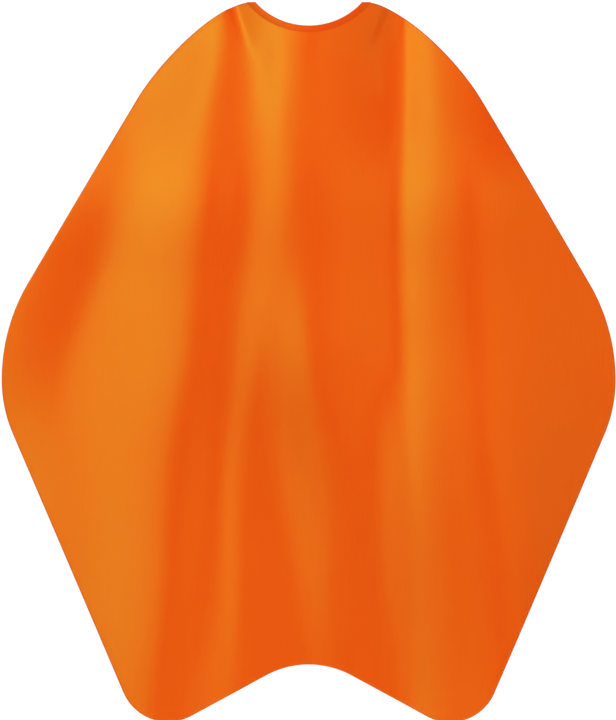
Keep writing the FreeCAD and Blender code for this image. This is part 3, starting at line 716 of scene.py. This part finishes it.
def strap_thread(line):
    """Stitches along both edges of a strap, on both faces."""
    parts = []
    inset = STRAP_WIDTH / 2 - STRAP_SEAM
    for height in (-inset, inset):
        row = line + UP * height
        run = path_length(row)
        at = np.arange(PATCH_LENGTH, run[-1] - END_RADIUS, STITCH_PITCH)
        centres = resample(row, at)
        ahead, behind = resample(row, at + STITCH_LENGTH / 4), resample(row, at - STITCH_LENGTH / 4)
        along = ahead - behind
        along /= np.linalg.norm(along, axis=1)[:, None]
        out = outward(along)
        for side in (-1, 1):
            parts.append(stitches(centres + out * side * STRAP_THICK / 2 * SEAM_SEAT, along, out * side))
    return joined(parts)


def bend_with(piece):
    """Bakes the piece's place into its mesh."""
    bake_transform(piece)


def make_strap(kind, cloth, thread):
    line = strap_centreline(kind)
    vertices, faces = tape(line)
    strap = new_mesh(kind + "_strap_tape", vertices, faces, None, cloth,
                     [kind + "_strap", kind + "_strap_root"])
    bend_with(strap)
    vertices, faces = strap_thread(line)
    seams = new_mesh(kind + "_strap_stitching", vertices, faces, None, thread,
                     [kind + "_strap_thread"])
    bend_with(seams)


TACK_INSET = 1.6 * MM              # in from both ends of a strap's patch
TACK_HALF_HEIGHT = 4.5 * MM
TACK_PITCH = 0.55 * MM
TACK_STITCH = 2.2 * MM
TACK_SLANT = 0.3


def make_tacks(material):
    """Close zigzags that hold each strap's patch to the band's tip."""
    parts = []
    for kind in SIDES:
        line = strap_centreline(kind)
        for place in (TACK_INSET, PATCH_LENGTH - TACK_INSET):
            at = resample(line, np.array([place]))[0]
            ahead = resample(line, np.array([place + MM]))[0]
            along = (ahead - at) / np.linalg.norm(ahead - at)
            out = np.array([-along[1], along[0], 0])
            out = out if out[1] > 0 else -out
            rows = np.arange(-TACK_HALF_HEIGHT, TACK_HALF_HEIGHT, TACK_PITCH)
            centres = at + UP * rows[:, None] + out * STRAP_THICK / 2
            ways = np.array([along + UP * TACK_SLANT * (-1) ** k for k in range(len(rows))])
            ways /= np.linalg.norm(ways, axis=1)[:, None]
            outs = np.repeat(out[None], len(rows), 0)
            parts.append(stitches(centres, ways, outs, length=TACK_STITCH))
    vertices, faces = joined(parts)
    return new_mesh("tack_stitching", vertices, faces, "cape", material, ["strap_tacks"])


# ---------------------------------------------------------------- materials

NOISE_LOW, NOISE_HIGH = 0.3, 0.7   # where nearly all of a noise's values lie


def new_material(name):
    """A new material: (material, its nodes, its links, its Principled shader)."""
    made = bpy.data.materials.new(name)
    made.use_nodes = True
    tree = made.node_tree
    return made, tree.nodes, tree.links, tree.nodes["Principled BSDF"]


def stretched(nodes, links, scale):
    """Object coordinates, stretched."""
    place = nodes.new("ShaderNodeTexCoord")
    mapping = nodes.new("ShaderNodeMapping")
    mapping.inputs["Scale"].default_value = scale
    links.new(place.outputs["Object"], mapping.inputs["Vector"])
    return mapping.outputs["Vector"]


def noise(nodes, links, scale, detail):
    """Noise with so many grains in a metre along x, y and z."""
    node = nodes.new("ShaderNodeTexNoise")
    node.inputs["Scale"].default_value = 1.0
    node.inputs["Detail"].default_value = detail
    links.new(stretched(nodes, links, scale), node.inputs["Vector"])
    return node.outputs["Fac"]


def ranged(nodes, links, value, low, high):
    """A noise spread over low to high."""
    node = nodes.new("ShaderNodeMapRange")
    for key, number in (("From Min", NOISE_LOW), ("From Max", NOISE_HIGH), ("To Min", low), ("To Max", high)):
        node.inputs[key].default_value = number
    links.new(value, node.inputs["Value"])
    return node.outputs["Result"]


def maths(nodes, links, operation, first, second):
    node = nodes.new("ShaderNodeMath")
    node.operation = operation
    for socket, value in zip(node.inputs, (first, second)):
        if isinstance(value, (int, float)):
            socket.default_value = value
        else:
            links.new(value, socket)
    return node.outputs[0]


def coloured(nodes, links, shader, share, first, second):
    """Gives the shader its colour, from the first to the second as the share grows."""
    colour = nodes.new("ShaderNodeMix")
    colour.data_type = "RGBA"
    colour.inputs["A"].default_value = (*first, 1)
    colour.inputs["B"].default_value = (*second, 1)
    links.new(share, colour.inputs["Factor"])
    links.new(colour.outputs["Result"], shader.inputs["Base Color"])


def bumped(nodes, links, shader, height, strength, distance):
    """Gives the shader its relief."""
    bump = nodes.new("ShaderNodeBump")
    bump.inputs["Strength"].default_value = strength
    bump.inputs["Distance"].default_value = distance
    links.new(height, bump.inputs["Height"])
    links.new(bump.outputs["Normal"], shader.inputs["Normal"])


STREAKS, BROAD_TONES, WEAVE = (420, 420, 5), (9, 9, 3), (5200, 5200, 900)      # in a metre along x, y and z
STREAK_SHARE = 0.65                # of the satin's tone; broad tones make up the rest
STREAK_RELIEF = 0.6
ROUGHNESS_SPREAD = 0.04
SHEEN_TINT = (0.3, 1.0, 0.07)


def satin(name, deep, light, roughness, ior=2.0):
    """Dyed polyester satin: long vertical floats with slubs, a fine weave and a tinted sheen."""
    made, nodes, links, shader = new_material(name)
    streaks = noise(nodes, links, STREAKS, 4)
    broad = noise(nodes, links, BROAD_TONES, 2)
    weave = noise(nodes, links, WEAVE, 2)
    tone = maths(nodes, links, "ADD", maths(nodes, links, "MULTIPLY", streaks, STREAK_SHARE),
                 maths(nodes, links, "MULTIPLY", broad, 1 - STREAK_SHARE))
    coloured(nodes, links, shader, ranged(nodes, links, tone, 0, 1), deep, light)
    rough = ranged(nodes, links, tone, roughness - ROUGHNESS_SPREAD, roughness + ROUGHNESS_SPREAD)
    links.new(rough, shader.inputs["Roughness"])
    height = maths(nodes, links, "ADD", weave, maths(nodes, links, "MULTIPLY", streaks, STREAK_RELIEF))
    bumped(nodes, links, shader, height, 0.25, 0.1 * MM)
    shader.inputs["IOR"].default_value = ior
    shader.inputs["Specular IOR Level"].default_value = 1.0
    shader.inputs["Specular Tint"].default_value = (*SHEEN_TINT, 1)
    return made


def twisted(name, deep, light):
    """Twisted polyester thread."""
    made, nodes, links, shader = new_material(name)
    plies = nodes.new("ShaderNodeTexWave")
    plies.inputs["Scale"].default_value = 900.0
    plies.inputs["Distortion"].default_value = 1.5
    links.new(stretched(nodes, links, (1, 1, 1)), plies.inputs["Vector"])
    coloured(nodes, links, shader, plies.outputs["Fac"], deep, light)
    shader.inputs["Roughness"].default_value = 0.5
    bumped(nodes, links, shader, plies.outputs["Fac"], 0.5, 0.08 * MM)
    return made


def fibrous(name, deep, light):
    """Non-woven stiffener."""
    made, nodes, links, shader = new_material(name)
    fibres = noise(nodes, links, (1500, 1500, 1500), 5)
    coloured(nodes, links, shader, ranged(nodes, links, fibres, 0, 1), deep, light)
    shader.inputs["Roughness"].default_value = 0.9
    bumped(nodes, links, shader, fibres, 0.6, 0.1 * MM)
    return made


MARK_SHADE = 0.86                  # the colour of handling marks, as a share of the metal's own
MARK_ROUGHNESS = 0.12              # and how much rougher they are


def plated(name, colour, roughness):
    """Plated metal with fine handling marks."""
    made, nodes, links, shader = new_material(name)
    marks = noise(nodes, links, (2600, 700, 2600), 6)
    shader.inputs["Metallic"].default_value = 1.0
    marked = tuple(MARK_SHADE * part for part in colour)
    coloured(nodes, links, shader, ranged(nodes, links, marks, 0, 1), marked, colour)
    rough = ranged(nodes, links, marks, roughness, roughness + MARK_ROUGHNESS)
    links.new(rough, shader.inputs["Roughness"])
    bumped(nodes, links, shader, marks, 0.15, 0.03 * MM)
    return made


# ---------------------------------------------------------------- stage, lights and camera

CAMERA_DISTANCE = 25.0
VIEW_TALL = 1401.912 * MM          # the view's height at the cape, a little over the cape's own
VIEW_MIDDLE = Vector((-1.45 * MM, 0, -697 * MM))
VIEW_NEAR, VIEW_FAR = 1, 100
SENSOR = 36.0                      # mm, along the view's longer side


def make_camera():
    lens = bpy.data.cameras.new("camera")
    lens.type = "PERSP"
    lens.sensor_width = SENSOR
    lens.lens = SENSOR * CAMERA_DISTANCE / VIEW_TALL
    lens.clip_start, lens.clip_end = VIEW_NEAR, VIEW_FAR
    camera = bpy.data.objects.new("camera", lens)
    camera.location = VIEW_MIDDLE + Vector((0, -CAMERA_DISTANCE, 0))
    camera.rotation_euler = (math.pi / 2, 0, 0)
    bpy.context.scene.collection.objects.link(camera)
    bpy.context.scene.camera = camera


# a key whose sheen shows the folds, two behind the cape for its back, and wide soft lights that leave no sheen:
# (name, azimuth to the left of the front, elevation, distance, width, height, power, whether it leaves a sheen)
LIGHTS = [
    ("key_left", 50, 26, 3.0, 0.7, 4.2, 20, True),
    ("fill_right", -78, 10, 3.5, 1.5, 2.5, 25, False),
    ("overhead", 0, 40, 3.5, 3.0, 2.0, 34, False),
    ("front_left", 35, 8, 4.0, 2.5, 2.5, 66, False),
    ("front_right", -35, 8, 4.0, 2.5, 2.5, 72, False),
    ("back_left", 150, 20, 3.5, 1.6, 2.4, 30, True),
    ("back_right", -150, 20, 3.5, 1.6, 2.4, 30, True),
    ("back_middle", 180, 35, 4.0, 2.5, 2.5, 60, False),
]


def make_lights():
    """Rectangular lights that face the cape's middle."""
    middle = Vector((0, 0, -CAPE_DROP / 2))
    for name, azimuth, elevation, distance, width, height, power, sheen in LIGHTS:
        lamp = bpy.data.lights.new(name, "AREA")
        lamp.shape = "RECTANGLE"
        lamp.size, lamp.size_y = width, height
        lamp.energy = power
        light = bpy.data.objects.new(name, lamp)
        turn, rise = math.radians(azimuth), math.radians(elevation)
        away = Vector((-math.sin(turn) * math.cos(rise), -math.cos(turn) * math.cos(rise), math.sin(rise)))
        light.location = middle + away * distance
        light.rotation_euler = (-away).to_track_quat("-Z", "Y").to_euler()
        light.visible_glossy = sheen
        bpy.context.scene.collection.objects.link(light)


WORLD_SEEN, WORLD_LIGHT = 1.05, 0.11


def make_world():
    """Plain white to the eye, and a dimmer even light on the cape."""
    world = bpy.data.worlds.new("studio")
    world.use_nodes = True
    nodes, links = world.node_tree.nodes, world.node_tree.links
    background = nodes["Background"]
    background.inputs["Color"].default_value = (1, 1, 1, 1)
    path = nodes.new("ShaderNodeLightPath")
    strength = nodes.new("ShaderNodeMapRange")
    strength.inputs["To Min"].default_value = WORLD_LIGHT
    strength.inputs["To Max"].default_value = WORLD_SEEN
    links.new(path.outputs["Is Camera Ray"], strength.inputs["Value"])
    links.new(strength.outputs["Result"], background.inputs["Strength"])
    bpy.context.scene.world = world


FLOOR_HALF_SIDE = 0.95
FLOOR_GAP = 350 * MM               # from the cape's lowest point down to the floor


def make_floor():
    made, nodes, links, shader = new_material("floor_paint")
    coloured(nodes, links, shader, noise(nodes, links, (60, 60, 60), 3), (0.86, 0.86, 0.85), (0.9, 0.9, 0.89))
    shader.inputs["Roughness"].default_value = 0.8
    reach, height = FLOOR_HALF_SIDE, CAD_LOW.z - FLOOR_GAP
    mesh = bpy.data.meshes.new("floor")
    corners = [(-reach, -reach), (reach, -reach), (reach, reach), (-reach, reach)]
    mesh.from_pydata([(x, y, height) for x, y in corners], [], [(0, 1, 2, 3)])
    mesh.materials.append(made)
    floor = bpy.data.objects.new("floor", mesh)
    bpy.context.scene.collection.objects.link(floor)


# ---------------------------------------------------------------- the whole cape

# the deeper and the lighter tone of each material
CAPE_TONES = (0.88, 0.052, 0.002), (0.92, 0.066, 0.003)
BAND_TONES = (0.74, 0.046, 0.002), (0.79, 0.056, 0.003)
THREAD_TONES = (0.70, 0.08, 0.003), (0.86, 0.12, 0.005)
STIFFENER_TONES = (0.66, 0.65, 0.62), (0.85, 0.85, 0.82)
NICKEL = (0.76, 0.74, 0.70)
SPRING_STEEL = (0.62, 0.61, 0.60)


def main():
    make_camera()
    make_world()
    make_lights()
    make_floor()
    cape_satin = satin("cape_satin", *CAPE_TONES, 0.42)
    hem_satin = satin("hem_satin", *CAPE_TONES, 0.46)
    band_satin = satin("band_satin", *BAND_TONES, 0.5, ior=1.6)
    thread = twisted("thread", *THREAD_TONES)
    stiffener = fibrous("interlining", *STIFFENER_TONES)
    nickel = plated("nickel", NICKEL, 0.18)
    spring = plated("spring_steel", SPRING_STEEL, 0.3)

    panel = make_panel(cape_satin)
    hem = make_hem(hem_satin)
    hem_thread = make_hem_thread(thread)
    make_band(band_satin)
    make_band_thread(thread)
    for kind in SIDES:
        make_strap(kind, band_satin, thread)
    make_tacks(thread)
    carried_over = {
        stiffener: ("neckband_interlining", "stud_strap_interlining", "socket_strap_interlining"),
        nickel: ("snap_posts", "snap_studs", "snap_sockets", "snap_caps"),
        spring: ("snap_springs",),
    }
    for look, names in carried_over.items():
        for name in names:
            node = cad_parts[name]
            node.data.materials.clear()
            node.data.materials.append(look)


bpy.context.scene.view_settings.view_transform = "Standard"
main()
